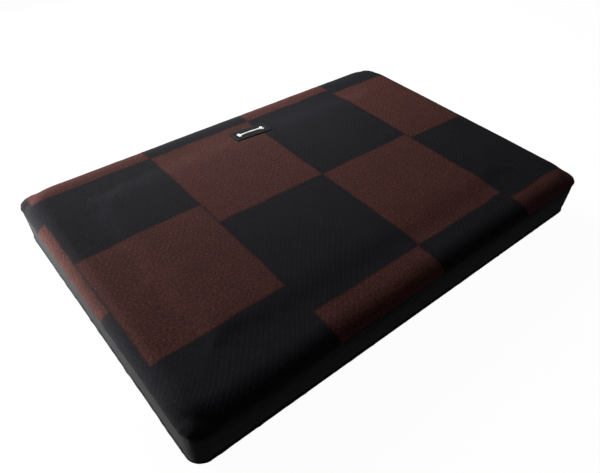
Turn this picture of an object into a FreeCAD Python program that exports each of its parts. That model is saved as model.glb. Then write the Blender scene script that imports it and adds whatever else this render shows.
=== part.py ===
import FreeCAD, Part
import math
import os

import Sketcher

# Pet cushion bed: a foam-filled box cushion in a zipped cover.
# Frame: millimetres, +Z up, origin at the middle of the underside.
# +X runs along the long sides, and the zip is on the +Y long side.

os.makedirs("parts", exist_ok=True)
doc = FreeCAD.newDocument("pet_cushion_bed")

# Driving dimensions: alias, value in millimetres (or degrees where it says so), what it is.
SIZES = [
    ("cushion_length", 600, "outside length along X"),
    ("cushion_width", 404, "outside width along Y"),
    ("cushion_height", 64, "height of the top surface at its edge"),
    ("corner_radius", 18, "plan radius of the four corners"),
    ("fabric_thickness", 1.6, "padded cover fabric"),
    ("upper_seam_height", 49, "height of the seam between top panel and band"),
    ("lower_seam_height", 6, "height of the seam between band and underside"),
    ("top_edge_radius", 14, "rounding of the top panel's edge"),
    ("bottom_edge_radius", 4, "rounding of the underside's edge"),
    ("band_inset", 5, "how far the band's face lies inside the outline"),
    ("seam_inset", 9, "how far the turned-in seam allowance reaches from the outline"),
    ("thread_size", 0.8, "thickness of a line of stitching"),
    ("back_length", 552, "length of the two back strips, between the sewn corners"),
    ("sewing_gap", 0.1, "gap between the ends of sewn strips"),
    ("zip_height", 27.5, "height of the zip's centre line"),
    ("zip_window", 12, "opening between the back strips that shows the zip"),
    ("zip_tape_length", 536, "length of each tape"),
    ("zip_tape_width", 14, "width of each tape"),
    ("zip_tape_thickness", 0.6, "woven tape"),
    ("zip_chain_length", 522, "length of the coils"),
    ("zip_chain_gap", 1.2, "space between the two coils, which the slider's wedge runs in"),
    ("zip_coil_width", 2.2, "width of one coil"),
    ("zip_coil_thickness", 1.5, "how far a coil stands off its tape"),
    ("zip_stop_length", 3, "length of an end stop along the zip"),
    ("zip_stop_gap", 0.6, "gap between a coil's end and its stop"),
    ("slider_length", 10, "length of the slider body"),
    ("slider_width", 9.4, "width of the slider body"),
    ("slider_plate", 1.2, "thickness of the slider's two plates"),
    ("slider_clearance", 0.3, "running clearance between the slider and the tapes"),
    ("slider_flange", 1.1, "width of the slider's side flanges"),
    ("slider_park", 256, "X of the slider's centre when the zip is closed"),
    ("wedge_length", 2.4, "length of the slider's wedge along the zip"),
    ("wedge_width", 0.6, "width of the slider's wedge"),
    ("wedge_offset", 3.2, "wedge centre ahead of the slider's centre"),
    ("bridge_length", 8, "length of the bridge that holds the pull tab"),
    ("bridge_width", 1.8, "width of the bridge"),
    ("bridge_rise", 1.9, "clear height under the bridge"),
    ("bridge_thickness", 1, "thickness of the bridge's bar and posts"),
    ("tab_length", 28, "length of the pull tab from its crossbar"),
    ("tab_width", 6, "width of the pull tab"),
    ("tab_thickness", 1, "thickness of the pull tab"),
    ("tab_edge_radius", 0.45, "rounding of the tab's crossbar"),
    ("tab_window", 5, "reach of the slot that swings over the bridge"),
    ("tab_window_width", 3.2, "width of that slot"),
    ("tab_end_radius", 1.8, "rounding of the tab's corners"),
    ("tab_hole_radius", 1.4, "radius of the hole near the tab's tip"),
    ("label_length", 56, "woven label, along its long side"),
    ("label_width", 25, "woven label, across"),
    ("label_thickness", 0.6, "woven label"),
    ("label_x", 9, "label centre"),
    ("label_y", 142, "label centre"),
    ("label_angle", -4, "turn of the label about Z, degrees"),
    ("label_margin", 2, "distance from the label's edge to its stitching"),
    ("motif_length", 40, "bone motif, overall"),
    ("motif_bar_width", 3.4, "width of the bone's shaft"),
    ("motif_knob_radius", 2.3, "radius of the bone's knobs"),
    ("motif_thickness", 0.3, "how far the motif's threads stand up"),
    ("care_label_x", -232, "care label centre along the back"),
    ("care_label_width", 22, "care label along X"),
    ("care_label_drop", 12, "how far the care label hangs below the seam"),
    ("care_label_thickness", 1, "folded care label"),
    ("filling_inset", 9.2, "liner's outer face inside the cushion outline"),
    ("liner_thickness", 0.8, "non-woven liner"),
    ("liner_gap", 0.3, "gap between the cover and the liner"),
    ("liner_split", 32, "height where the liner's two halves meet"),
    ("core_bottom", 8, "height of the foam's underside"),
    ("core_top", 52, "height of the foam's upper face"),
    ("liner_top_radius", 8, "rounding of the liner's top edge"),
    ("liner_bottom_radius", 3, "rounding of the liner's bottom edge"),
]

sheet = doc.addObject("Spreadsheet::Sheet", "Sizes")
for row, (alias, value, note) in enumerate(SIZES, start=1):
    sheet.set("A%d" % row, alias)
    sheet.set("B%d" % row, str(value))
    sheet.set("C%d" % row, note)
    sheet.setAlias("B%d" % row, alias)
doc.recompute()

ALIASES = sorted((alias for alias, _, _ in SIZES), key=len, reverse=True)
sub_parts = []


def bound(formula):
    """Turn a formula of aliases into an expression that reads the sheet."""
    words = formula.replace("(", " ( ").replace(")", " ) ").split()
    return " ".join("Sizes." + word if word in ALIASES else word for word in words)


def number(formula):
    """The present value of a formula of aliases."""
    return float(sheet.evalExpression(" ".join(bound(formula).replace("Sizes.", "").split())))


def bind(target, path, formula):
    target.setExpression(path, bound(formula))


def new_body(label, at=("0", "0", "0")):
    """An empty body with its label and its place."""
    body = doc.addObject("PartDesign::Body", label)
    body.Label = label
    for axis, formula in zip("xyz", at):
        bind(body, "Placement.Base." + axis, formula)
    sub_parts.append(body)
    return body


def sketch_on(body, name, role="XY_Plane", shift=("0", "0", "0")):
    """A sketch on one of the body's own origin planes, moved by shift within that plane's axes."""
    plane = [p for p in body.Origin.OriginFeatures if p.Role == role][0]
    sketch = body.newObject("Sketcher::SketchObject", name)
    sketch.AttachmentSupport = [(plane, "")]
    sketch.MapMode = "FlatFace"
    for axis, formula in zip("xyz", shift):
        bind(sketch, "AttachmentOffset.Base." + axis, formula)
    return sketch


def named_constraint(sketch, constraint, name, formula):
    index = sketch.addConstraint(constraint)
    sketch.renameConstraint(index, name)
    bind(sketch, "Constraints." + name, formula)


def draw_rectangle(sketch, wide, deep):
    """A rectangle centred on the sketch's origin."""
    a = number(wide) / 2
    b = number(deep) / 2
    corners = [(-a, -b), (a, -b), (a, b), (-a, b)]
    first = sketch.GeometryCount
    for i in range(4):
        start = FreeCAD.Vector(*corners[i], 0)
        end = FreeCAD.Vector(*corners[(i + 1) % 4], 0)
        sketch.addGeometry(Part.LineSegment(start, end), False)
    for i in range(4):
        sketch.addConstraint(Sketcher.Constraint("Coincident", first + i, 2, first + (i + 1) % 4, 1))
        kind = "Horizontal" if i % 2 == 0 else "Vertical"
        sketch.addConstraint(Sketcher.Constraint(kind, first + i))
    sketch.addConstraint(Sketcher.Constraint("Symmetric", first, 1, first + 1, 2, -1, 1))
    tag = str(first)
    across = Sketcher.Constraint("DistanceX", first, 1, first, 2, 2 * a)
    upward = Sketcher.Constraint("DistanceY", first + 1, 1, first + 1, 2, 2 * b)
    named_constraint(sketch, across, "wide" + tag, wide)
    named_constraint(sketch, upward, "deep" + tag, deep)


def draw_rounded_rectangle(sketch, wide, deep, radius):
    """A rectangle with four equal corner arcs, centred on the sketch's origin."""
    a = number(wide) / 2
    b = number(deep) / 2
    r = number(radius)
    first = sketch.GeometryCount
    ends = [
        ((-a + r, -b), (a - r, -b)),
        ((a, -b + r), (a, b - r)),
        ((a - r, b), (-a + r, b)),
        ((-a, b - r), (-a, -b + r)),
    ]
    for start, end in ends:
        sketch.addGeometry(Part.LineSegment(FreeCAD.Vector(*start, 0), FreeCAD.Vector(*end, 0)), False)
    centres = [(a - r, -b + r), (a - r, b - r), (-a + r, b - r), (-a + r, -b + r)]
    for i, centre in enumerate(centres):
        circle = Part.Circle(FreeCAD.Vector(*centre, 0), FreeCAD.Vector(0, 0, 1), r)
        start_angle = (i - 1) * math.pi / 2
        sketch.addGeometry(Part.ArcOfCircle(circle, start_angle, start_angle + math.pi / 2), False)
    for i in range(4):
        line = first + i
        arc = first + 4 + i
        following = first + (i + 1) % 4
        sketch.addConstraint(Sketcher.Constraint("Tangent", line, 2, arc, 1))
        sketch.addConstraint(Sketcher.Constraint("Tangent", arc, 2, following, 1))
        kind = "Horizontal" if i % 2 == 0 else "Vertical"
        sketch.addConstraint(Sketcher.Constraint(kind, line))
        if i > 0:
            sketch.addConstraint(Sketcher.Constraint("Equal", first + 4, arc))
    sketch.addConstraint(Sketcher.Constraint("Symmetric", first + 4, 3, first + 6, 3, -1, 1))
    tag = str(first)
    across = Sketcher.Constraint("DistanceX", first + 3, 1, first + 1, 1, 2 * a)
    upward = Sketcher.Constraint("DistanceY", first, 1, first + 2, 1, 2 * b)
    rounding = Sketcher.Constraint("Radius", first + 4, r)
    named_constraint(sketch, across, "wide" + tag, wide)
    named_constraint(sketch, upward, "deep" + tag, deep)
    named_constraint(sketch, rounding, "radius" + tag, radius)


def draw_circle(sketch, radius):
    """A circle centred on the sketch's origin."""
    r = number(radius)
    circle = Part.Circle(FreeCAD.Vector(0, 0, 0), FreeCAD.Vector(0, 0, 1), r)
    index = sketch.addGeometry(circle, False)
    sketch.addConstraint(Sketcher.Constraint("Coincident", index, 3, -1, 1))
    named_constraint(sketch, Sketcher.Constraint("Radius", index, r), "radius" + str(index), radius)


def pad(body, sketch, length, name, midplane=False):
    feature = body.newObject("PartDesign::Pad", name)
    feature.Profile = sketch
    feature.Midplane = midplane
    bind(feature, "Length", length)
    sketch.Visibility = False
    doc.recompute()
    return feature


def pocket(body, sketch, length, name, midplane=False):
    """Cut along the sketch's normal, or both ways from it, and check that something was cut."""
    before = body.Shape.Volume
    feature = body.newObject("PartDesign::Pocket", name)
    feature.Profile = sketch
    feature.Midplane = midplane
    feature.Reversed = not midplane
    bind(feature, "Length", length)
    doc.recompute()
    if body.Shape.Volume >= before:
        raise RuntimeError(name + " cut nothing")
    return feature


def slab(body, name, wide, deep, tall, shift=("0", "0", "0")):
    """A rectangular block: centred on shift in X and Y, rising from shift's Z."""
    sketch = sketch_on(body, name + "_outline", shift=shift)
    draw_rectangle(sketch, wide, deep)
    return pad(body, sketch, tall, name)


def fillet(body, feature, test, radius, name):
    """Round the feature's edges that pass the test."""
    edges = ["Edge%d" % (i + 1) for i, edge in enumerate(feature.Shape.Edges) if test(edge)]
    if not edges:
        raise RuntimeError(name + " found no edge")
    rounded = body.newObject("PartDesign::Fillet", name)
    rounded.Base = (feature, edges)
    bind(rounded, "Radius", radius)
    doc.recompute()
    return rounded


def level_edges(height):
    """A test for the edges that lie flat at one height of the body."""
    def test(edge):
        box = edge.BoundBox
        return abs(box.ZMin - height) < 0.001 and abs(box.ZMax - height) < 0.001
    return test


def hollow_out(body, feature, height, thickness, name):
    """Leave a wall of one thickness, open at the flat face at that height."""
    faces = []
    for i, face in enumerate(feature.Shape.Faces):
        box = face.BoundBox
        if abs(box.ZMin - height) < 0.001 and abs(box.ZMax - height) < 0.001:
            faces.append("Face%d" % (i + 1))
    shell = body.newObject("PartDesign::Thickness", name)
    shell.Base = (feature, faces)
    shell.Mode = 0
    shell.Join = 0
    shell.Reversed = True
    bind(shell, "Value", thickness)
    doc.recompute()
    return shell


def inset_outline(sketch, inset):
    """The cushion's outline, moved inwards by inset on all sides."""
    wide = "cushion_length - 2 * ( %s )" % inset
    deep = "cushion_width - 2 * ( %s )" % inset
    draw_rounded_rectangle(sketch, wide, deep, "corner_radius - ( %s )" % inset)


def outline_slab(body, name, inset, tall, lift):
    """A solid slab with the cushion's outline, moved inwards by inset."""
    sketch = sketch_on(body, name + "_outline", shift=("0", "0", lift))
    inset_outline(sketch, inset)
    return pad(body, sketch, tall, name)


def outline_ring(body, name, outer_inset, inner_inset, tall, lift):
    """A ring between two inset outlines."""
    sketch = sketch_on(body, name + "_outline", shift=("0", "0", lift))
    inset_outline(sketch, outer_inset)
    inset_outline(sketch, inner_inset)
    return pad(body, sketch, tall, name)


def make_top_panel():
    """The checked upper fabric: flat top, rounded edge, short wall and turned-in allowance."""
    body = new_body("top_panel", ("0", "0", "upper_seam_height"))
    tall = "cushion_height - upper_seam_height"
    block = outline_slab(body, "top_block", "0", tall, "0")
    rounded = fillet(body, block, level_edges(number(tall)), "top_edge_radius", "top_rounding")
    hollow_out(body, rounded, 0, "fabric_thickness", "top_wall")
    outline_ring(body, "top_allowance", "fabric_thickness / 2", "seam_inset", "fabric_thickness", "0")


def make_bottom_panel():
    """The underside: flat, with a small rounded edge and a turned-in allowance."""
    body = new_body("bottom_panel")
    block = outline_slab(body, "bottom_block", "0", "lower_seam_height", "0")
    rounded = fillet(body, block, level_edges(0), "bottom_edge_radius", "bottom_rounding")
    hollow_out(body, rounded, number("lower_seam_height"), "fabric_thickness", "bottom_wall")
    lift = "lower_seam_height - fabric_thickness"
    outline_ring(body, "bottom_allowance", "fabric_thickness / 2", "seam_inset", "fabric_thickness", lift)


def make_side_band():
    """One band round the left, front and right sides, open along the back."""
    body = new_body("side_band", ("0", "0", "lower_seam_height"))
    tall = "upper_seam_height - lower_seam_height"
    inner = "band_inset + fabric_thickness"
    outline_ring(body, "band_wall", "band_inset", inner, tall, "0")
    middle = "band_inset + fabric_thickness / 2"
    outline_ring(body, "band_lower_allowance", middle, "seam_inset", "fabric_thickness", "0")
    lift = tall + " - fabric_thickness"
    outline_ring(body, "band_upper_allowance", middle, "seam_inset", "fabric_thickness", lift)
    opening = sketch_on(body, "back_opening_outline", shift=("0", "cushion_width / 2", "0"))
    draw_rectangle(opening, "back_length", "4 * seam_inset")
    pocket(body, opening, tall, "back_opening")


def make_back_strip(label, lift, tall, allowance_lift):
    """One of the two strips that the zip joins, with its allowance at the seam."""
    body = new_body(label, ("0", "cushion_width / 2 - band_inset", lift))
    wide = "back_length - 2 * sewing_gap"
    slab(body, label + "_face", wide, "fabric_thickness", tall, ("0", "0 - fabric_thickness / 2", "0"))
    reach = "seam_inset - band_inset"
    shift = ("0", "0 - ( %s ) / 2" % reach, allowance_lift)
    slab(body, label + "_allowance", wide, reach, "fabric_thickness", shift)


def make_back_strips():
    upper_lift = "zip_height + zip_window / 2"
    upper_tall = "upper_seam_height - zip_height - zip_window / 2"
    make_back_strip("back_band_upper", upper_lift, upper_tall, upper_tall + " - fabric_thickness")
    lower_tall = "zip_height - zip_window / 2 - lower_seam_height"
    make_back_strip("back_band_lower", "lower_seam_height", lower_tall, "0")


def make_seam_thread(label, lift):
    """A line of lockstitch that lies in the corner between the band's face and a panel."""
    body = new_body(label, ("0", "0", lift))
    outline_ring(body, label + "_ring", "band_inset - thread_size", "band_inset", "thread_size", "0")


def make_zip_halves():
    """Each half of the chain: a woven tape behind the strips, and its coil in the window."""
    strip_back = "cushion_width / 2 - band_inset - fabric_thickness"
    for label, side in (("upper", "1"), ("lower", "-1")):
        middle = "zip_height + %s * ( zip_chain_gap + zip_tape_width ) / 2" % side
        tape = new_body("zip_tape_" + label, ("0", strip_back, middle))
        shift = ("0", "0 - zip_tape_thickness / 2", "0 - zip_tape_width / 2")
        slab(tape, "tape_" + label, "zip_tape_length", "zip_tape_thickness", "zip_tape_width", shift)
        centre = "zip_height + %s * ( zip_chain_gap + zip_coil_width ) / 2" % side
        coil = new_body("zip_coil_" + label, ("0", strip_back, centre))
        shift = ("0", "zip_coil_thickness / 2", "0 - zip_coil_width / 2")
        sizes = ("zip_chain_length", "zip_coil_thickness", "zip_coil_width")
        block = slab(coil, "coil_" + label, *sizes, shift)
        crest = number("zip_coil_thickness")
        def outer_long_edge(edge):
            box = edge.BoundBox
            return box.XLength > 1 and abs(box.YMin - crest) < 0.001 and abs(box.YMax - crest) < 0.001
        fillet(coil, block, outer_long_edge, "zip_coil_thickness / 3", "coil_rounding_" + label)


def make_zip_stops():
    """Two top stops, one on each tape, and one bottom stop across both."""
    on_tape = "cushion_width / 2 - band_inset - fabric_thickness"
    reach = "zip_chain_length / 2 + zip_stop_gap + zip_stop_length / 2"
    lift = ("0", "zip_coil_thickness / 2", "0 - zip_coil_width / 2")
    for label, side in (("upper", "1"), ("lower", "-1")):
        centre = "zip_height + %s * ( zip_chain_gap + zip_coil_width ) / 2" % side
        stop = new_body("zip_top_stop_" + label, (reach, on_tape, centre))
        slab(stop, "stop_" + label, "zip_stop_length", "zip_coil_thickness", "zip_coil_width", lift)
    bottom = new_body("zip_bottom_stop", ("0 - ( %s )" % reach, on_tape, "zip_height"))
    across = "2 * zip_coil_width + zip_chain_gap"
    shift = ("0", "zip_coil_thickness / 2", "0 - ( %s ) / 2" % across)
    slab(bottom, "stop_bottom", "zip_stop_length", "zip_coil_thickness", across, shift)


def make_zip_slider():
    """Slider body: back plate, front plate with side flanges, wedge between them, and bridge."""
    body = new_body("zip_slider_body", ("slider_park", "cushion_width / 2 - band_inset", "zip_height"))
    half = "0 - slider_width / 2"
    tape_back = "0 - fabric_thickness - zip_tape_thickness"
    front_low = "zip_coil_thickness - fabric_thickness + slider_clearance"
    back_middle = tape_back + " - slider_clearance - slider_plate / 2"
    shift = ("0", back_middle, half)
    slab(body, "back_plate", "slider_length", "slider_plate", "slider_width", shift)
    wedge_deep = "( %s ) - ( %s ) + 2 * slider_clearance" % (front_low, tape_back)
    wedge_middle = "( %s + %s ) / 2" % (front_low, tape_back)
    shift = ("wedge_offset", wedge_middle, "0 - wedge_width / 2")
    slab(body, "wedge", "wedge_length", wedge_deep, "wedge_width", shift)
    shift = ("0", front_low + " + slider_plate / 2", half)
    slab(body, "front_plate", "slider_length", "slider_plate", "slider_width", shift)
    flange_low = "0 - fabric_thickness + slider_clearance"
    flange_deep = "( %s ) - ( %s ) + slider_plate / 2" % (front_low, flange_low)
    flange_middle = "( %s ) + ( %s ) / 2" % (flange_low, flange_deep)
    for name, lift in (("upper_flange", "slider_width / 2 - slider_flange"), ("lower_flange", half)):
        slab(body, name, "slider_length", flange_deep, "slider_flange", ("0", flange_middle, lift))
    plate_top = front_low + " + slider_plate"
    bridge_half = "0 - bridge_width / 2"
    post_deep = "bridge_rise + bridge_thickness"
    post_middle = plate_top + " + ( %s ) / 2" % post_deep
    for name, side in (("rear_post", "-1"), ("front_post", "1")):
        along = "%s * ( bridge_length - bridge_thickness ) / 2" % side
        slab(body, name, "bridge_thickness", post_deep, "bridge_width", (along, post_middle, bridge_half))
    bar_middle = plate_top + " + bridge_rise + bridge_thickness / 2"
    bar_shift = ("0", bar_middle, bridge_half)
    bar = slab(body, "bridge_bar", "bridge_length", "bridge_thickness", "bridge_width", bar_shift)
    half_long = number("slider_length") / 2
    half_wide = number("slider_width") / 2
    def plate_corner(edge):
        box = edge.BoundBox
        at_end = abs(abs(box.Center.x) - half_long) < 0.001
        at_side = abs(abs(box.Center.z) - half_wide) < 0.001
        return at_end and at_side and box.YLength > 0.5
    fillet(body, bar, plate_corner, "slider_flange * 0.8", "slider_corners")


def hinge_depth():
    """Y of the pull tab's hinge axis, measured from the band's face."""
    return "zip_coil_thickness - fabric_thickness + slider_clearance + slider_plate + bridge_rise / 2"


def make_pull_tab():
    """Pull tab: crossbar under the bridge, slot that swings over it, plate and hole."""
    out = "cushion_width / 2 - band_inset + " + hinge_depth()
    body = new_body("zip_pull_tab", ("slider_park", out, "zip_height"))
    middle = "0 - ( tab_length - tab_thickness / 2 ) / 2"
    plate_sketch = sketch_on(body, "plate_outline", "XZ_Plane", (middle, "0", "0"))
    draw_rounded_rectangle(plate_sketch, "tab_length + tab_thickness / 2", "tab_width", "tab_end_radius")
    pad(body, plate_sketch, "tab_thickness", "plate", midplane=True)
    slot_long = "tab_window - tab_thickness / 2"
    slot_middle = "0 - tab_thickness / 2 - ( %s ) / 2" % slot_long
    slot = sketch_on(body, "slot_outline", "XZ_Plane", (slot_middle, "0", "0"))
    draw_rectangle(slot, slot_long, "tab_window_width")
    pocket(body, slot, "4 * tab_thickness", "slot", midplane=True)
    tip = sketch_on(body, "tip_hole_outline", "XZ_Plane", ("0 - tab_length + tab_width / 2", "0", "0"))
    draw_circle(tip, "tab_hole_radius")
    hole = pocket(body, tip, "4 * tab_thickness", "tip_hole", midplane=True)
    half_thick = number("tab_thickness / 2")
    slot_half = number("tab_window_width / 2")

    def crossbar_edge(edge):
        box = edge.BoundBox
        in_slot = abs(box.ZMin + slot_half) < 0.001 and abs(box.ZMax - slot_half) < 0.001
        return in_slot and abs(box.XMin + half_thick) < 0.001 and abs(box.XMax + half_thick) < 0.001

    def outer_end_edge(edge):
        box = edge.BoundBox
        return abs(box.XMin - half_thick) < 0.001 and box.ZLength > slot_half

    fillet(body, hole, crossbar_edge, "tab_edge_radius", "crossbar_inner_rounding")
    inner = body.Tip
    fillet(body, inner, outer_end_edge, "tab_edge_radius", "crossbar_outer_rounding")


def make_stitch_lines(label, lines, lift):
    """Straight lines of stitching, each a thin bar lying on the surface, joined in one compound.

    Each line is (start, end) in the label's or strip's own plane; the compound has no single
    feature that makes it, so its shape is set here from the sheet's sizes.
    """
    size = number("thread_size")
    bars = []
    for start, end in lines:
        run = FreeCAD.Vector(*end) - FreeCAD.Vector(*start)
        bar = Part.makeBox(run.Length, size, size / 2, FreeCAD.Vector(0, -size / 2, 0))
        turn = FreeCAD.Rotation(FreeCAD.Vector(1, 0, 0), run)
        bar.Placement = FreeCAD.Placement(FreeCAD.Vector(*start), turn)
        bars.append(bar)
    feature = doc.addObject("Part::Feature", label)
    feature.Label = label
    feature.Shape = Part.makeCompound(bars)
    feature.Placement = lift
    sub_parts.append(feature)


def label_placement(height):
    """The label's place and turn on the top surface, at a height."""
    turn = FreeCAD.Rotation(FreeCAD.Vector(0, 0, 1), number("label_angle"))
    return FreeCAD.Placement(FreeCAD.Vector(number("label_x"), number("label_y"), height), turn)


def lay_on_label(body, height):
    """Turn a body like the label, with its place bound to the sheet."""
    body.Placement = label_placement(number(height))
    for axis, formula in zip("xyz", ("label_x", "label_y", height)):
        bind(body, "Placement.Base." + axis, formula)


def make_label():
    """Woven label, its bone motif and the stitching round its edge."""
    face = "cushion_height + label_thickness"
    label = new_body("woven_label")
    slab(label, "label_plate", "label_length", "label_width", "label_thickness")
    lay_on_label(label, "cushion_height")
    motif = new_body("label_motif")
    shaft_length = "motif_length - 2 * motif_knob_radius"
    slab(motif, "bone_shaft", shaft_length, "motif_bar_width", "motif_thickness")
    knob_x = "( motif_length - 2 * motif_knob_radius ) / 2"
    knob_y = "motif_knob_radius * 0.8"
    for name, x_side, y_side in (("a", "1", "1"), ("b", "1", "-1"), ("c", "-1", "1"), ("d", "-1", "-1")):
        shift = ("%s * ( %s )" % (x_side, knob_x), "%s * ( %s )" % (y_side, knob_y), "0")
        knob = sketch_on(motif, "knob_outline_" + name, shift=shift)
        draw_circle(knob, "motif_knob_radius")
        pad(motif, knob, "motif_thickness", "knob_" + name)
    lay_on_label(motif, face)
    a = number("label_length / 2 - label_margin")
    b = number("label_width / 2 - label_margin")
    corner = number("thread_size")
    lines = [
        ((-a + corner, -b, 0), (a - corner, -b, 0)),
        ((-a + corner, b, 0), (a - corner, b, 0)),
        ((-a, -b, 0), (-a, b, 0)),
        ((a, -b, 0), (a, b, 0)),
    ]
    make_stitch_lines("label_stitching", lines, label_placement(number(face)))


def make_zip_stitching():
    """One row of stitching on each back strip, close to its folded edge."""
    reach = number("zip_tape_length / 2")
    off_centre = number("zip_window / 2 + 2 * thread_size")
    lines = [((-reach, side * off_centre, 0), (reach, side * off_centre, 0)) for side in (-1, 1)]
    face = FreeCAD.Vector(0, number("cushion_width / 2 - band_inset"), number("zip_height"))
    outward = FreeCAD.Rotation(FreeCAD.Vector(1, 0, 0), -90)
    make_stitch_lines("zip_stitching", lines, FreeCAD.Placement(face, outward))


def make_care_label():
    """A small blank folded label, caught in the upper seam at the back."""
    out = "cushion_width / 2 - band_inset + care_label_thickness / 2"
    lift = "upper_seam_height - thread_size - care_label_drop"
    body = new_body("care_label", ("care_label_x", out, lift))
    slab(body, "care_fold", "care_label_width", "care_label_thickness", "care_label_drop")


def make_liner():
    """The non-woven sleeve round the filling, in two halves that meet at liner_split."""
    top = "cushion_height - fabric_thickness - liner_gap"
    upper = new_body("inner_liner_upper", ("0", "0", "liner_split"))
    tall = top + " - liner_split"
    block = outline_slab(upper, "liner_upper_block", "filling_inset", tall, "0")
    rounded = fillet(upper, block, level_edges(number(tall)), "liner_top_radius", "liner_upper_rounding")
    hollow_out(upper, rounded, 0, "liner_thickness", "liner_upper_wall")
    lower = new_body("inner_liner_lower", ("0", "0", "fabric_thickness + liner_gap"))
    tall = "liner_split - fabric_thickness - liner_gap"
    block = outline_slab(lower, "liner_lower_block", "filling_inset", tall, "0")
    rounded = fillet(lower, block, level_edges(0), "liner_bottom_radius", "liner_lower_rounding")
    hollow_out(lower, rounded, number(tall), "liner_thickness", "liner_lower_wall")


def make_filling():
    """Foam slab with polyester wadding above and below it, all inside the liner."""
    inset = "filling_inset + liner_thickness + liner_gap"
    core = new_body("foam_core", ("0", "0", "core_bottom"))
    outline_slab(core, "core_block", inset, "core_top - core_bottom", "0")
    upper = new_body("upper_wadding", ("0", "0", "core_top"))
    tall = "cushion_height - fabric_thickness - 2 * liner_gap - liner_thickness - core_top"
    block = outline_slab(upper, "upper_wadding_block", inset, tall, "0")
    top_edges = level_edges(number(tall))
    fillet(upper, block, top_edges, "liner_top_radius - liner_thickness", "upper_wadding_rounding")
    base = "fabric_thickness + 2 * liner_gap + liner_thickness"
    lower = new_body("lower_wadding", ("0", "0", base))
    tall = "core_bottom - ( %s )" % base
    block = outline_slab(lower, "lower_wadding_block", inset, tall, "0")
    fillet(lower, block, level_edges(0), "liner_bottom_radius - liner_thickness", "lower_wadding_rounding")


make_top_panel()
make_bottom_panel()
make_side_band()
make_back_strips()
make_seam_thread("top_seam_thread", "upper_seam_height - thread_size")
make_seam_thread("bottom_seam_thread", "lower_seam_height")
make_zip_halves()
make_zip_stops()
make_zip_slider()
make_pull_tab()
make_label()
make_zip_stitching()
make_care_label()
make_liner()
make_filling()
doc.recompute()

for item in doc.Objects:
    if "Invalid" in item.State or "Error" in item.State:
        raise RuntimeError(item.Name + " did not compute: " + str(item.State))
for part in sub_parts:
    if part.Shape.isNull() or not part.Shape.isValid():
        raise RuntimeError(part.Label + " has no valid shape")
    if len(part.Shape.Solids) < 1:
        raise RuntimeError(part.Label + " holds no solid")
for part in sub_parts:
    part.Shape.exportStep("parts/" + part.Label + ".step")
    box = part.Shape.BoundBox
    print("%-20s %d solid(s) %9.1f mm3  Z %.2f to %.2f" % (
        part.Label, len(part.Shape.Solids), part.Shape.Volume, box.ZMin, box.ZMax))
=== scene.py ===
import math

import bmesh
import bpy
import numpy as np
from mathutils import Matrix, Vector, noise
from mathutils.bvhtree import BVHTree


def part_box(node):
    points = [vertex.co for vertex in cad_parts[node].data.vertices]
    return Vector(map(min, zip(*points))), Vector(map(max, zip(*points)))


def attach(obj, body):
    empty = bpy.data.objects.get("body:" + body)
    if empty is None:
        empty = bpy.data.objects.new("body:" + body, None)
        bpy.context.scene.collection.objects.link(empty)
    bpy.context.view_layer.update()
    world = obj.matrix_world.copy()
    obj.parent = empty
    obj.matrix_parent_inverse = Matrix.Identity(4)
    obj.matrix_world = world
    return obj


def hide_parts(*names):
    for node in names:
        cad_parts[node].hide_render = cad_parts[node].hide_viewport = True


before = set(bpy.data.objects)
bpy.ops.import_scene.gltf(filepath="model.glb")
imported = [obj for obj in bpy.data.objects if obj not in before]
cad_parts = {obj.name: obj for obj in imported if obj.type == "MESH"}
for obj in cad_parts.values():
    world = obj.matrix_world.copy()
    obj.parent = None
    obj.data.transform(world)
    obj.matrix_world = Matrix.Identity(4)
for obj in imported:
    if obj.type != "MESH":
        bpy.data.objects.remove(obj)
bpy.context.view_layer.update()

# ---------------------------------------------------------------- sizes from the frame, in metres
MM = 0.001
top_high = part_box("top_panel")[1]
band_low, band_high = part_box("side_band")
strip_low, strip_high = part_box("back_band_upper")
lower_strip_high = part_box("back_band_lower")[1]
label_low, label_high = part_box("woven_label")
coil_low, coil_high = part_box("zip_coil_upper")
lower_coil_low, lower_coil_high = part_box("zip_coil_lower")
care_low, care_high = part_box("care_label")

HALF_LONG = top_high.x
HALF_WIDE = top_high.y
TOP = top_high.z
UPPER_SEAM = band_high.z
LOWER_SEAM = band_low.z
BAND_FACE = strip_high.y
ZIP_TOP = strip_low.z
ZIP_BOTTOM = lower_strip_high.z
ZIP_LINE = (ZIP_TOP + ZIP_BOTTOM) / 2
STRIP_END = strip_high.x

CORNER = 19 * MM           # plan radius of the corners
CORNER_DROOP = 42 * MM     # plan radius that the top's edge rounding follows at the corners
ROUND_IN = 24 * MM         # how far in from the outline the top edge starts to round
ROUND_DOWN = 12.5 * MM     # height of that rounding
ROUND_POWER = 2.0          # superellipse power of that rounding
UNDER_IN = 2.6 * MM        # the underside's outline inside the cover's
UNDER_ROUND = 5 * MM       # how far in the underside's edge rounds
UNDER_RISE = 3.2 * MM      # height of that rounding
CLOTH = 1.5 * MM           # thickness of the cover fabric
CELL = 6.5 * MM            # spacing of the cover mesh before subdivision
SEAM_IN = 4.6 * MM         # depth of the seams inside the outline
BAND_IN = 1.1 * MM         # the side band's face inside the outline at its upper edge
BAND_LEAN = 1.6 * MM       # and how much further inside it is at its lower edge
BACK_FLAT = 22 * MM        # how far past the strips' ends the back of the band stays level
SIM_FRAMES = 20            # frames that the cloth step runs for
TOP_CAP = 2.4 * MM         # how far the cloth step may move the top
SINK_CAP = 0.4 * MM        # and how far inwards
EDGE_HELD = 0 * MM         # the cloth step holds the top this near its outline
EDGE_FREE = 95 * MM        # and lets it move freely from here inwards
BAND_CAP = 1.2 * MM        # how far it may move the side band

TOP_SLOT, BAND_SLOT, UNDER_SLOT = 0, 1, 2
UPPER_STRIP_SLOT, LOWER_STRIP_SLOT, GAP_SLOT = 3, 4, 5


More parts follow.
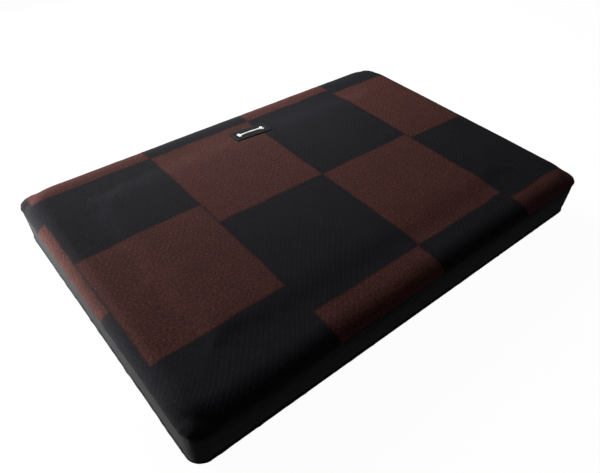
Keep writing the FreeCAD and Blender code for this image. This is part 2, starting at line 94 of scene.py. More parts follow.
# ---------------------------------------------------------------- material helpers
class Graph:
    """A material's node tree with short calls for the nodes used here."""

    def __init__(self, name):
        self.material = bpy.data.materials.new(name)
        self.material.use_nodes = True
        self.tree = self.material.node_tree
        self.tree.nodes.clear()
        self.out = self.tree.nodes.new("ShaderNodeOutputMaterial")
        self.shader = self.tree.nodes.new("ShaderNodeBsdfPrincipled")
        self.link(self.shader.outputs["BSDF"], self.out.inputs["Surface"])

    def link(self, source, target):
        self.tree.links.new(source, target)

    def feed(self, socket, value):
        if isinstance(value, bpy.types.NodeSocket):
            self.link(value, socket)
        else:
            socket.default_value = value

    def set(self, **values):
        for name, value in values.items():
            self.feed(self.shader.inputs[name.replace("_", " ")], value)

    def math(self, operation, a, b=0.0, c=0.0):
        node = self.tree.nodes.new("ShaderNodeMath")
        node.operation = operation
        for socket, value in zip(node.inputs, (a, b, c)):
            self.feed(socket, value)
        return node.outputs[0]

    def times(self, a, b):
        return self.math("MULTIPLY", a, b)

    def plus(self, a, b):
        return self.math("ADD", a, b)

    def minus(self, a, b):
        return self.math("SUBTRACT", a, b)

    def least(self, a, b):
        return self.math("MINIMUM", a, b)

    def vector_math(self, operation, a, b):
        node = self.tree.nodes.new("ShaderNodeVectorMath")
        node.operation = operation
        self.feed(node.inputs[0], a)
        self.feed(node.inputs[1], b)
        return node.outputs[0]

    def cloth_coordinates(self):
        """Where a point lies on the flat fabric, in metres, carried by the mesh."""
        node = self.tree.nodes.new("ShaderNodeAttribute")
        node.attribute_name = "cloth"
        return node.outputs["Vector"]

    def object_coordinates(self):
        return self.tree.nodes.new("ShaderNodeTexCoord").outputs["Object"]

    def split(self, vector):
        node = self.tree.nodes.new("ShaderNodeSeparateXYZ")
        self.feed(node.inputs[0], vector)
        return node.outputs

    def noise(self, vector, scale, detail=2.0, roughness=0.5):
        node = self.tree.nodes.new("ShaderNodeTexNoise")
        self.feed(node.inputs["Vector"], vector)
        node.inputs["Scale"].default_value = scale
        node.inputs["Detail"].default_value = detail
        node.inputs["Roughness"].default_value = roughness
        return node.outputs["Fac"]

    def step(self, value, low, high, out_low=0.0, out_high=1.0):
        node = self.tree.nodes.new("ShaderNodeMapRange")
        node.interpolation_type = "SMOOTHSTEP"
        self.feed(node.inputs["Value"], value)
        for name, number in zip(("From Min", "From Max", "To Min", "To Max"), (low, high, out_low, out_high)):
            node.inputs[name].default_value = number
        return node.outputs["Result"]

    def mix(self, factor, a, b):
        node = self.tree.nodes.new("ShaderNodeMix")
        node.data_type = "RGBA"
        self.feed(node.inputs[0], factor)
        self.feed(node.inputs[6], a)
        self.feed(node.inputs[7], b)
        return node.outputs[2]

    def bump(self, height, strength, distance, below=None):
        node = self.tree.nodes.new("ShaderNodeBump")
        node.inputs["Strength"].default_value = strength
        node.inputs["Distance"].default_value = distance
        self.feed(node.inputs["Height"], height)
        if below is not None:
            self.link(below, node.inputs["Normal"])
        return node.outputs[0]


def rgb(r, g, b):
    return (r, g, b, 1.0)


def weave(graph, vector, pitch):
    """Height of a plain weave with that thread pitch: threads over and under each other."""
    u, v, _ = graph.split(vector)
    across = graph.times(u, 1 / pitch)
    along = graph.times(v, 1 / pitch)
    warp = graph.math("ABSOLUTE", graph.math("SINE", graph.times(across, math.pi)))
    weft = graph.math("ABSOLUTE", graph.math("SINE", graph.times(along, math.pi)))
    cell = graph.plus(graph.math("FLOOR", across), graph.math("FLOOR", along))
    over = graph.math("PINGPONG", cell, 1.0)
    warp_part = graph.times(warp, over)
    weft_part = graph.times(weft, graph.minus(1.0, over))
    return graph.plus(warp_part, weft_part)


# The woven pattern is a chessboard, its pitch and its lines worked out from the panel's size. The
# end columns and one check lie off the board's rows by a plain share of a check.
CHECK_LONG = 0.52 * HALF_LONG
CHECK_WIDE = 0.82 * HALF_WIDE
BOARD_LEFT = 0.075 * HALF_LONG - 3 * CHECK_LONG
BOARD_NEAR = 0.84 * HALF_WIDE - 3 * CHECK_WIDE
BOARD_COLUMNS = 5
BOARD_ROWS = 4
COLUMN_SLIP = {0: -0.25, 4: -0.07}
SLIPPED_CHECK = (1, 1)
CHECK_SLIP = 0.25
NAVY = rgb(0.0088, 0.0085, 0.0116)
NAVY_DARK = rgb(0.0050, 0.0048, 0.0070)
NAVY_LIGHT = rgb(0.0235, 0.0230, 0.0290)
RED = rgb(0.0760, 0.0225, 0.0175)
RED_DARK = rgb(0.0240, 0.0095, 0.0085)
RED_LIGHT = rgb(0.1300, 0.0460, 0.0370)
OUTLINE = rgb(0.0080, 0.0060, 0.0065)
SHADE = rgb(0.010, 0.008, 0.009)
WANDER_SLOW = 5 * MM       # how far the checks' edges wander over the panel
WANDER_QUICK = 1.2 * MM    # and from thread to thread
RIB_PITCH = 5.2 * MM
RIB_BEND = 30 * MM         # how far the ribs bend out of line
CHECK_WEAVE = 1.15 * MM


def red_checks():
    """Left, right, near and far edge of every red check: each second place on the board."""
    checks = []
    for column in range(BOARD_COLUMNS):
        for row in range(BOARD_ROWS):
            if (column + row) % 2:
                continue
            slip = CHECK_SLIP if (column, row) == SLIPPED_CHECK else COLUMN_SLIP.get(column, 0)
            left = BOARD_LEFT + column * CHECK_LONG
            near = BOARD_NEAR + (row + slip) * CHECK_WIDE
            checks.append((left, left + CHECK_LONG, near, near + CHECK_WIDE))
    return checks


def check_distance(graph, u, v, check):
    """How far inside a red check a point is, in metres, negative outside it."""
    left, right, near, far = check
    inside_x = graph.least(graph.minus(u, left), graph.minus(right, u))
    inside_y = graph.least(graph.minus(v, near), graph.minus(far, v))
    return graph.least(inside_x, inside_y)


def checked_fabric():
    """Heathered red and navy checks with a fine dark outline and faint ribs, in a plain weave."""
    graph = Graph("checked_fabric")
    cloth = graph.cloth_coordinates()
    u, v, _ = graph.split(cloth)
    slow = graph.minus(graph.noise(cloth, 22, 1), 0.5)
    quick = graph.minus(graph.noise(graph.vector_math("ADD", cloth, (3, 7, 0)), 260, 2), 0.5)
    wander = graph.plus(graph.times(slow, WANDER_SLOW), graph.times(quick, WANDER_QUICK))
    u_soft = graph.plus(u, wander)
    v_soft = graph.minus(v, wander)
    inside = None
    for check in red_checks():
        distance = check_distance(graph, u_soft, v_soft, check)
        inside = distance if inside is None else graph.math("MAXIMUM", inside, distance)
    red_mask = graph.step(inside, -0.9 * MM, 0.9 * MM)
    near_edge = graph.step(graph.math("ABSOLUTE", inside), 0.6 * MM, 3.2 * MM, 0.5, 0.0)

    heather = graph.noise(cloth, 360, 5, 0.85)
    clouds = graph.noise(cloth, 60, 3, 0.6)
    slub_vector = graph.vector_math("MULTIPLY", cloth, (820, 55, 1))
    slubs = graph.noise(slub_vector, 1, 3, 0.6)
    flecks = graph.noise(graph.vector_math("ADD", cloth, (11, 5, 0)), 420, 4, 0.75)

    red = graph.mix(graph.step(heather, 0.40, 0.60), RED_DARK, RED)
    red = graph.mix(graph.step(flecks, 0.50, 0.66, 0.0, 0.75), red, RED_LIGHT)
    red = graph.mix(graph.step(slubs, 0.35, 0.65, 0.0, 0.18), red, RED_DARK)
    navy = graph.mix(graph.step(slubs, 0.36, 0.64), NAVY_DARK, NAVY)
    navy = graph.mix(graph.step(flecks, 0.52, 0.66, 0.0, 0.6), navy, NAVY_LIGHT)
    slant = graph.plus(graph.times(u, 0.76), graph.times(v, -0.65))
    bend = graph.times(graph.noise(cloth, 9, 1), RIB_BEND)
    bent = graph.plus(slant, bend)
    ribs = graph.math("SINE", graph.times(bent, 2 * math.pi / RIB_PITCH))
    patches = graph.noise(graph.vector_math("ADD", cloth, (0.31, 0.12, 0)), 7, 1)
    rib_room = graph.step(patches, 0.42, 0.6, 0.3, 0.9)
    rib_share = graph.times(graph.step(ribs, -0.6, 0.8), rib_room)
    navy = graph.mix(rib_share, navy, NAVY_DARK)
    red = graph.mix(graph.times(rib_share, 0.35), red, RED_DARK)
    colour = graph.mix(red_mask, navy, red)
    colour = graph.mix(near_edge, colour, OUTLINE)
    shade = graph.step(clouds, 0.25, 0.75, 0.0, 0.22)
    colour = graph.mix(shade, colour, SHADE)

    height = weave(graph, cloth, CHECK_WEAVE)
    fuzz = graph.noise(cloth, 2600, 2)
    fine = graph.bump(graph.math("MULTIPLY_ADD", fuzz, 0.5, height), 0.42, 0.35 * MM)
    soft = graph.bump(slubs, 0.25, 0.3 * MM, fine)
    rough = graph.step(heather, 0.3, 0.7, 0.78, 0.93)
    graph.set(Base_Color=colour, Roughness=rough, Normal=soft)
    graph.set(Sheen_Weight=0.008, Sheen_Roughness=0.5, Specular_IOR_Level=0.04)
    return graph.material


def plain_fabric(name, dark, light, pitch):
    """Plain woven cloth with thread-scale weave, slubs and soft clouding."""
    graph = Graph(name)
    cloth = graph.cloth_coordinates()
    slubs = graph.noise(graph.vector_math("MULTIPLY", cloth, (90, 900, 90)), 1, 3, 0.6)
    clouds = graph.noise(cloth, 70, 3, 0.6)
    heather = graph.noise(cloth, 560, 4, 0.75)
    colour = graph.mix(graph.step(heather, 0.40, 0.64), dark, light)
    colour = graph.mix(graph.step(slubs, 0.4, 0.7, 0.0, 0.35), colour, dark)
    colour = graph.mix(graph.step(clouds, 0.3, 0.75, 0.0, 0.25), colour, dark)
    height = weave(graph, cloth, pitch)
    fine = graph.bump(graph.math("MULTIPLY_ADD", heather, 0.5, height), 0.4, 0.3 * MM)
    rough = graph.step(heather, 0.3, 0.7, 0.8, 0.94)
    graph.set(Base_Color=colour, Roughness=rough, Normal=fine)
    graph.set(Sheen_Weight=0.03, Sheen_Roughness=0.5, Specular_IOR_Level=0.12)
    return graph.material


# ---------------------------------------------------------------- objects and meshes
def new_object(name, data):
    item = bpy.data.objects.new(name, data)
    bpy.context.scene.collection.objects.link(item)
    return item


def shade(mesh):
    for polygon in mesh.polygons:
        polygon.use_smooth = True


def lay_flat(mesh, places):
    """Give each vertex its place on the flat fabric."""
    attribute = mesh.attributes.new("cloth", "FLOAT_VECTOR", "POINT")
    attribute.data.foreach_set("vector", np.array(places, np.float32).ravel())


# ---------------------------------------------------------------- cover mesh
def rounding_insets():
    """Insets of the mesh lines near the outline, closer together where the edge rounds."""
    steps = 9
    insets = []
    for k in range(steps + 1):
        angle = math.pi / 2 * (1 - k / steps)
        insets.append(ROUND_IN * (1 - math.sin(angle) ** (2 / ROUND_POWER)))
    return insets + [ROUND_IN * 1.22, ROUND_IN * 1.5]


def grid_lines(half):
    """Mesh lines from -half to half: the rounding lines at both ends, even cells between."""
    near = [half - inset for inset in rounding_insets()]
    inner = near[-1]
    count = max(2, round(2 * inner / CELL))
    middle = [inner - 2 * inner * k / count for k in range(count + 1)]
    line = near + middle[1:-1] + [-x for x in reversed(near)]
    return np.array(sorted(line))


def place_in_plan(x, y):
    """Move a point of the square grid so that the outline's corners are round."""
    p = (abs(x) - (HALF_LONG - CORNER)) / CORNER
    q = (abs(y) - (HALF_WIDE - CORNER)) / CORNER
    if p <= 0 or q <= 0:
        return x, y
    p_round = p * math.sqrt(1 - q * q / 2)
    q_round = q * math.sqrt(1 - p * p / 2)
    new_x = math.copysign(HALF_LONG - CORNER + CORNER * p_round, x)
    new_y = math.copysign(HALF_WIDE - CORNER + CORNER * q_round, y)
    return new_x, new_y


def inset_at(x, y, radius=CORNER):
    """Distance from a point in plan to the outline with corners of that radius."""
    p = abs(x) - (HALF_LONG - radius)
    q = abs(y) - (HALF_WIDE - radius)
    if p > 0 and q > 0:
        return radius - math.hypot(p, q)
    return radius - max(p, q)


def outward_at(x, y):
    """Outward normal of the outline at a point on it."""
    p = abs(x) - (HALF_LONG - CORNER)
    q = abs(y) - (HALF_WIDE - CORNER)
    if p > 0 and q > 0:
        size = math.hypot(p, q)
        return math.copysign(p / size, x), math.copysign(q / size, y)
    if p > q:
        return math.copysign(1, x), 0.0
    return 0.0, math.copysign(1, y)


def top_height(inset):
    """Height of the top surface at an inset, before the cloth step."""
    if inset >= ROUND_IN:
        return TOP
    share = max(0.0, min(1.0, (ROUND_IN - inset) / ROUND_IN))
    return TOP - ROUND_DOWN * (1 - (1 - share ** ROUND_POWER) ** (1 / ROUND_POWER))


def under_height(inset):
    if inset >= UNDER_ROUND:
        return 0.0
    share = max(0.0, min(1.0, (UNDER_ROUND - inset) / UNDER_ROUND))
    return UNDER_RISE * (1 - (1 - share ** 2) ** 0.5)


def arc_length_table():
    """Insets and the length of cloth from the outline to them, over the rounded edge."""
    insets = np.linspace(0, ROUND_IN, 200)
    heights = np.array([top_height(i) for i in insets])
    lengths = np.concatenate([[0], np.cumsum(np.hypot(np.diff(insets), np.diff(heights)))])
    return insets, lengths


ARC_INSETS, ARC_LENGTHS = arc_length_table()


def on_cloth(position, half):
    """A plan coordinate unrolled over the rounded edge: where it lies on the flat fabric."""
    inset = half - abs(position)
    if inset >= ROUND_IN:
        return position
    used = ARC_LENGTHS[-1] - np.interp(inset, ARC_INSETS, ARC_LENGTHS)
    return math.copysign(half - ROUND_IN + used, position)


def smooth_share(value, low, high):
    t = max(0.0, min(1.0, (value - low) / (high - low)))
    return t * t * (3 - 2 * t)


def side_rings():
    """The rings between the top's outline and the underside's: inset, height, slot below it."""
    rings = [
        (0.15 * MM, UPPER_SEAM + 2.2 * MM, TOP_SLOT),
        (0.9 * MM, UPPER_SEAM + 1.1 * MM, TOP_SLOT),
        (2.8 * MM, UPPER_SEAM + 0.35 * MM, TOP_SLOT),
        (SEAM_IN, UPPER_SEAM, BAND_SLOT),
        (3.3 * MM, UPPER_SEAM - 0.8 * MM, BAND_SLOT),
        (1.9 * MM, UPPER_SEAM - 2.4 * MM, BAND_SLOT),
    ]
    rows = [45.0, 41.5, 38.0, 35.2]
    levels = [(row * MM, BAND_SLOT) for row in rows]
    levels += [(ZIP_TOP, GAP_SLOT), (ZIP_LINE, GAP_SLOT), (ZIP_BOTTOM, BAND_SLOT)]
    levels += [((55 - row) * MM, BAND_SLOT) for row in reversed(rows)]
    for level, slot in levels:
        lean = BAND_LEAN * (UPPER_SEAM - level) / (UPPER_SEAM - LOWER_SEAM)
        rings.append((BAND_IN + lean, level, slot))
    low_in = BAND_IN + BAND_LEAN
    rings += [
        (low_in + 0.2 * MM, LOWER_SEAM + 2.2 * MM, BAND_SLOT),
        (low_in + 1.1 * MM, LOWER_SEAM + 0.7 * MM, BAND_SLOT),
        (low_in + 1.8 * MM, LOWER_SEAM, UNDER_SLOT),
        (low_in - 0.2 * MM, LOWER_SEAM - 0.4 * MM, UNDER_SLOT),
        (low_in - 1.4 * MM, LOWER_SEAM - 1.2 * MM, UNDER_SLOT),
    ]
    return rings


def build_cover():
    """The closed cover as one mesh: the object, start positions, caps and pinned weights."""
    xs = grid_lines(HALF_LONG)
    ys = grid_lines(HALF_WIDE)
    nx, ny = len(xs), len(ys)
    points, cloth, caps, pins = [], [], [], []
    faces, slots = [], []

    def add(x, y, z, u, v, cap, pin):
        points.append((x, y, z))
        cloth.append((u, v, 0.0))
        caps.append(cap)
        pins.append(pin)
        return len(points) - 1

    def grid_index(start, i, j):
        return start + i * ny + j

    for x in xs:
        for y in ys:
            px, py = place_in_plan(x, y)
            inset = inset_at(px, py)
            height = top_height(max(inset * 0.4, inset_at(px, py, CORNER_DROOP)))
            u, v = on_cloth(px, HALF_LONG), on_cloth(py, HALF_WIDE)
            add(px, py, height, u, v, TOP_CAP, 1 - smooth_share(inset, EDGE_HELD, EDGE_FREE))
    for i in range(nx - 1):
        for j in range(ny - 1):
            corners = (i, j), (i + 1, j), (i + 1, j + 1), (i, j + 1)
            faces.append([grid_index(0, *corner) for corner in corners])
            slots.append(TOP_SLOT)

    border = [(i, 0) for i in range(nx - 1)] + [(nx - 1, j) for j in range(ny - 1)]
    border += [(i, ny - 1) for i in range(nx - 1, 0, -1)] + [(0, j) for j in range(ny - 1, 0, -1)]
    above = [grid_index(0, i, j) for i, j in border]
    rim = [points[k] for k in above]
    around = [0.0]
    for k in range(1, len(rim)):
        around.append(around[-1] + math.dist(rim[k][:2], rim[k - 1][:2]))
    slot_above = TOP_SLOT
    last_height = top_height(0)
    run = 0.0
    for inset, height, slot_below in side_rings():
        ring = []
        run += abs(last_height - height)
        last_height = height
        for k, (x, y, _) in enumerate(rim):
            nx_out, ny_out = outward_at(x, y)
            is_band = LOWER_SEAM + 0.5 * MM < height < UPPER_SEAM - 0.5 * MM
            new_x, new_y = x - nx_out * inset, y - ny_out * inset
            on_back = y > HALF_WIDE - CORNER
            if is_band and on_back:
                level = smooth_share(STRIP_END + BACK_FLAT - abs(x), 0, 10 * MM)
                new_y += (min(new_y, BAND_FACE) - new_y) * level
            if slot_above == TOP_SLOT:
                u = on_cloth(x, HALF_LONG) + nx_out * run
                v = on_cloth(y, HALF_WIDE) + ny_out * run
            else:
                u, v = around[k], height
            pinned = 0.0 if is_band and not on_back else 1.0
            ring.append(add(new_x, new_y, height, u, v, BAND_CAP, pinned))
        for k in range(len(ring)):
            following = (k + 1) % len(ring)
            faces.append([above[k], ring[k], ring[following], above[following]])
            slot = slot_above
            if slot_above in (BAND_SLOT, GAP_SLOT):
                mid_x = (points[ring[k]][0] + points[ring[following]][0]) / 2
                mid_y = (points[ring[k]][1] + points[ring[following]][1]) / 2
                behind = mid_y > HALF_WIDE - 8 * MM and abs(mid_x) < STRIP_END
                if not behind:
                    slot = BAND_SLOT
                elif slot_above == BAND_SLOT:
                    slot = UPPER_STRIP_SLOT if height > ZIP_LINE else LOWER_STRIP_SLOT
            slots.append(slot)
        above = ring
        slot_above = slot_below

    start = len(points)
    under_of = {}
    for i, x in enumerate(xs):
        for j, y in enumerate(ys):
            px, py = place_in_plan(x, y)
            z = under_height(inset_at(px, py))
            px *= 1 - UNDER_IN / HALF_LONG
            py *= 1 - UNDER_IN / HALF_WIDE
            under_of[i, j] = add(px, py, z, px, py, 0.0, 1.0)
    for i in range(nx - 1):
        for j in range(ny - 1):
            corners = (i, j), (i, j + 1), (i + 1, j + 1), (i + 1, j)
            faces.append([grid_index(start, *corner) for corner in corners])
            slots.append(UNDER_SLOT)
    last = [under_of[i, j] for i, j in border]
    for k in range(len(last)):
        following = (k + 1) % len(last)
        faces.append([above[k], last[k], last[following], above[following]])
        slots.append(UNDER_SLOT)

    mesh = bpy.data.meshes.new("cover")
    mesh.from_pydata(points, [], faces)
    mesh.polygons.foreach_set("material_index", slots)
    lay_flat(mesh, cloth)
    mesh.update()
    return new_object("cover", mesh), np.array(points), np.array(caps), np.array(pins)


def inflate(cover, start, caps, pins):
    """Blow the cover up a little with Blender's cloth, then keep the move within its cap."""
    group = cover.vertex_groups.new(name="pinned")
    for index, weight in enumerate(pins):
        if weight > 0:
            group.add([index], float(weight), "REPLACE")
    modifier = cover.modifiers.new("cloth", "CLOTH")
    settings = modifier.settings
    settings.quality = 5
    settings.mass = 0.25
    settings.tension_stiffness = 18
    settings.compression_stiffness = 18
    settings.shear_stiffness = 8
    settings.bending_stiffness = 1.5
    settings.use_pressure = True
    settings.uniform_pressure_force = 4
    settings.vertex_group_mass = "pinned"
    settings.effector_weights.gravity = 0
    settings.shrink_min = -0.006
    modifier.collision_settings.use_collision = False
    modifier.collision_settings.use_self_collision = False
    scene = bpy.context.scene
    scene.frame_start = 1
    scene.frame_end = SIM_FRAMES
    modifier.point_cache.frame_start = 1
    modifier.point_cache.frame_end = SIM_FRAMES
    for number in range(1, SIM_FRAMES + 1):
        scene.frame_set(number)
    depsgraph = bpy.context.evaluated_depsgraph_get()
    moved = cover.evaluated_get(depsgraph).to_mesh()
    result = np.zeros(len(moved.vertices) * 3)
    moved.vertices.foreach_get("co", result)
    cover.evaluated_get(depsgraph).to_mesh_clear()
    cover.modifiers.remove(modifier)
    scene.frame_set(1)
    normals = np.zeros(len(start) * 3, np.float32)
    cover.data.vertex_normals.foreach_get("vector", normals)
    normals = normals.reshape(-1, 3)
    shift = result.reshape(-1, 3) - start
    out = np.einsum("ij,ij->i", shift, normals)
    limit = np.maximum(caps, 1e-9)
    kept = np.where(out > 0, limit * np.tanh(out / limit), -SINK_CAP * np.tanh(-out / SINK_CAP))
    return start + normals * (kept * (1 - np.clip(pins, 0, 1)))[:, None]


def ripple(co, outward):
    """Small unevenness of filled fabric: slow swells, and puckers that fade away from a seam."""
    x, y, z = co
    swell = noise.noise(Vector((x * 16, y * 16, z * 20 + 3))) * 0.38 * MM
    swell += noise.noise(Vector((x * 42 + 9, y * 42, z * 42))) * 0.16 * MM
    near_seam = math.exp(-abs(z - UPPER_SEAM) / (6 * MM)) + math.exp(-abs(z - LOWER_SEAM) / (4 * MM))
    along = (x if abs(outward.y) > abs(outward.x) else y)
    pucker = noise.noise(Vector((along * 95, z * 25, 5 if outward.y < 0 else 9))) * 0.8 * MM
    pucker += noise.noise(Vector((along * 230, z * 30, 15))) * 0.35 * MM
    at_corner = smooth_share(abs(x), HALF_LONG - 30 * MM, HALF_LONG - 12 * MM)
    at_corner *= smooth_share(abs(y), HALF_WIDE - 30 * MM, HALF_WIDE - 12 * MM)
    if at_corner > 0:
        turn = math.atan2(abs(y) - HALF_WIDE + 16 * MM, abs(x) - HALF_LONG + 16 * MM)
        fade = math.exp(-abs(z - UPPER_SEAM - 2 * MM) / (7 * MM))
        pucker += 0.35 * MM * at_corner * fade * math.cos(turn * 9 + (1 if x * y > 0 else 2))
    return swell, pucker * min(1.0, near_seam)


def finish_cover_surface(cover):
    """Apply one subdivision and then the ripples, keeping the underside flat and the back level."""
    bpy.context.view_layer.objects.active = cover
    modifier = cover.modifiers.new("smooth", "SUBSURF")
    modifier.levels = 1
    modifier.render_levels = 1
    depsgraph = bpy.context.evaluated_depsgraph_get()
    mesh = bpy.data.meshes.new_from_object(cover.evaluated_get(depsgraph))
    cover.modifiers.remove(modifier)
    cover.data = mesh
    count = len(mesh.vertices)
    places, normals = np.zeros(count * 3, np.float32), np.zeros(count * 3, np.float32)
    mesh.vertices.foreach_get("co", places)
    mesh.vertex_normals.foreach_get("vector", normals)
    places, normals = places.reshape(-1, 3), normals.reshape(-1, 3)
    for index in range(count):
        x, y, z = (float(value) for value in places[index])
        if z < LOWER_SEAM - 1.5 * MM:
            continue
        normal = Vector(normals[index])
        swell, pucker = ripple((x, y, z), normal)
        level = 1.0
        if y > HALF_WIDE - 9 * MM and LOWER_SEAM + 3 * MM < z < UPPER_SEAM - 3 * MM:
            level = 0.0
        places[index] += np.array(normal) * (swell * 0.8 + pucker) * level
    mesh.vertices.foreach_set("co", places.ravel())
    mesh.update()
    return cover


def cut_piece(cover, name, slot_index, material):
    """One fabric piece of the cover, with its own thickness."""
    mesh = cover.data.copy()
    mesh.name = name
    work = bmesh.new()
    work.from_mesh(mesh)
    gone = [face for face in work.faces if face.material_index != slot_index]
    bmesh.ops.delete(work, geom=gone, context="FACES")
    for face in work.faces:
        face.material_index = 0
        face.smooth = True
    work.to_mesh(mesh)
    work.free()
    mesh.materials.clear()
    mesh.materials.append(material)
    piece = new_object(name, mesh)
    thicken(piece, CLOTH, -1)
    shade(piece.data)
    return piece


def thicken(piece, thickness, offset):
    """Give a single layer of cloth its thickness."""
    thick = piece.modifiers.new("thickness", "SOLIDIFY")
    thick.thickness = thickness
    thick.offset = offset
    apply_modifiers(piece)


def belongs(piece, node, slot_name):
    """Say that a piece rides on the cushion and which node it replaces; its material slot, slot_name, is not
    used.
    """
    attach(piece, "cushion")
    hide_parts(node)


def apply_modifiers(piece):
    depsgraph = bpy.context.evaluated_depsgraph_get()
    mesh = bpy.data.meshes.new_from_object(piece.evaluated_get(depsgraph))
    mesh.name = piece.name
    piece.modifiers.clear()
    piece.data = mesh


cover, start, caps, pins = build_cover()
settled = inflate(cover, start, caps, pins)
cover.data.vertices.foreach_set("co", settled.astype(np.float32).ravel())
cover.data.update()
finish_cover_surface(cover)

band_fabric = plain_fabric("band_fabric", rgb(0.0050, 0.0050, 0.0056), rgb(0.0215, 0.0217, 0.0230), 0.95 * MM)
under_fabric = plain_fabric(
    "underside_fabric", rgb(0.0080, 0.0080, 0.0085), rgb(0.0200, 0.0200, 0.0210), 1.3 * MM
)
COVER_PIECES = [
    ("top_cover", TOP_SLOT, checked_fabric(), "top_panel", "checked_fabric"),
    ("side_band_cloth", BAND_SLOT, band_fabric, "side_band", "band_fabric"),
    ("back_strip_upper", UPPER_STRIP_SLOT, band_fabric, "back_band_upper", "band_fabric"),
    ("back_strip_lower", LOWER_STRIP_SLOT, band_fabric, "back_band_lower", "band_fabric"),
    ("underside_cloth", UNDER_SLOT, under_fabric, "bottom_panel", "underside_fabric"),
]
for name, slot_index, material, node, slot_name in COVER_PIECES:
    piece = cut_piece(cover, name, slot_index, material)
    belongs(piece, node, slot_name)
surface = BVHTree.FromPolygons(
    [vertex.co.copy() for vertex in cover.data.vertices],
    [list(polygon.vertices) for polygon in cover.data.polygons],
)
bpy.data.objects.remove(cover)


# ---------------------------------------------------------------- threads, tapes and labels
def make_object(name, points, faces, material):
    mesh = bpy.data.meshes.new(name)
    mesh.from_pydata(points, [], faces)
    mesh.update()
    mesh.materials.append(material)
    shade(mesh)
    return new_object(name, mesh)


def tube(points, faces, path, radii, sides=6, flat=1.0, up=Vector((0, 0, 1))):
    """Add a closed tube along a path; flat squeezes it along its up direction."""
    first = len(points)
    count = len(path)
    for k, place in enumerate(path):
        ahead = (path[min(k + 1, count - 1)] - path[max(k - 1, 0)]).normalized()
        side = ahead.cross(up)
        side = side.normalized() if side.length > 1e-6 else Vector((1, 0, 0))
        rise = side.cross(ahead)
        for turn in range(sides):
            angle = 2 * math.pi * turn / sides
            offset = side * math.cos(angle) + rise * (math.sin(angle) * flat)
            points.append(place + offset * radii[k])
    for k in range(count - 1):
        for turn in range(sides):
            a = first + k * sides + turn
            b = first + k * sides + (turn + 1) % sides
            faces.append([a, b, b + sides, a + sides])
    faces.append([first + turn for turn in reversed(range(sides))])
    faces.append([first + (count - 1) * sides + turn for turn in range(sides)])


def stitch(points, faces, start, end, up, radius):
    """One stitch: a short thread that arches up from the cloth and dives back in."""
    shares = (0.0, 0.12, 0.35, 0.65, 0.88, 1.0)
    lifts = (-0.9, 0.1, 0.75, 0.75, 0.1, -0.9)
    path = [start.lerp(end, share) + up * (lift * radius) for share, lift in zip(shares, lifts)]
    tube(points, faces, path, [radius * r for r in (0.55, 0.9, 1.0, 1.0, 0.9, 0.55)], 6, 0.8, up)


def outline_points(spacing):
    """Points round the outline at a spacing: (point, outward direction)."""
    straight_x, straight_y = HALF_LONG - CORNER, HALF_WIDE - CORNER
    quarter = CORNER * math.pi / 2
    legs = [2 * straight_x, quarter, 2 * straight_y, quarter] * 2
    total = sum(legs)
    count = round(total / spacing)
    for k in range(count):
        rest = total * k / count
        leg = 0
        while rest > legs[leg]:
            rest -= legs[leg]
            leg += 1
        turn = math.pi / 2 * (leg // 2)
        cos_turn, sin_turn = math.cos(turn), math.sin(turn)
        half_a, half_b = (straight_x, straight_y) if (leg // 2) % 2 == 0 else (straight_y, straight_x)
        if leg % 2 == 0:
            local, out = (-half_a + rest, -half_b - CORNER), (0, -1)
        else:
            angle = -math.pi / 2 + rest / CORNER
            out = (math.cos(angle), math.sin(angle))
            local = (half_a + CORNER * out[0], -half_b + CORNER * out[1])
        yield tuple(
            Vector((a * cos_turn - b * sin_turn, a * sin_turn + b * cos_turn, 0)) for a, b in (local, out)
        )


STITCH_STEP = 3.1 * MM
STITCH_LONG = 2.3 * MM
THREAD = 0.34 * MM
PROBE = 12 * MM
UP, DOWN = Vector((0, 0, 1)), Vector((0, 0, -1))
ABOVE = 0.2


def top_at(x, y):
    """The point of the cover straight below a place high above it, if there is one."""
    return surface.ray_cast(Vector((x, y, ABOVE)), DOWN)[0]


def seam_stitches(name, height, node, material):
    """A row of separate stitches lying in the valley of a seam all the way round."""
    points, faces = [], []
    for point, outward in outline_points(STITCH_STEP):
        ahead = Vector((-outward.y, outward.x, 0))
        ends = []
        for side in (-0.5, 0.5):
            origin = point + ahead * (STITCH_LONG * side) + outward * PROBE
            origin.z = height
            hit = surface.ray_cast(origin, -outward)[0]
            ends.append(hit + outward * (0.15 * MM))
        stitch(points, faces, ends[0], ends[1], outward, THREAD)
    item = make_object(name, points, faces, material)
    belongs(item, node, "seam_thread")


def thread_material(name, dark, light, twist=1500, shine=0.3):
    """Twisted thread: fine slanting plies with painted shade in the grooves between them, fibre fuzz and
    slight colour change along it.
    """
    graph = Graph(name)
    place = graph.object_coordinates()
    x, y, z = graph.split(place)
    slant = graph.plus(graph.plus(x, y), graph.times(z, 1.7))
    plies = graph.math("SINE", graph.times(slant, twist * math.pi))
    tint = graph.noise(place, 300, 3, 0.6)
    colour = graph.mix(graph.step(tint, 0.35, 0.65), dark, light)
    # painted shade: the colour goes towards the dark thread colour in the grooves between the plies
    colour = graph.mix(graph.step(plies, -1, 1, 0.35, 0.0), colour, dark)
    fuzz = graph.noise(place, 3500, 2)
    normal = graph.bump(graph.math("MULTIPLY_ADD", fuzz, 0.6, plies), 0.5, 0.08 * MM)
    graph.set(Base_Color=colour, Roughness=graph.step(fuzz, 0.3, 0.7, 0.5, 0.75), Normal=normal)
    graph.set(Specular_IOR_Level=shine)
    return graph.material


seam_thread = thread_material("seam_thread", rgb(0.006, 0.006, 0.007), rgb(0.016, 0.016, 0.018))
motif_thread = thread_material("motif_thread", rgb(0.55, 0.55, 0.54), rgb(0.82, 0.82, 0.80), 1900, 0.4)
seam_stitches("upper_seam_stitches", UPPER_SEAM, "top_seam_thread", seam_thread)
seam_stitches("lower_seam_stitches", LOWER_SEAM, "bottom_seam_thread", seam_thread)

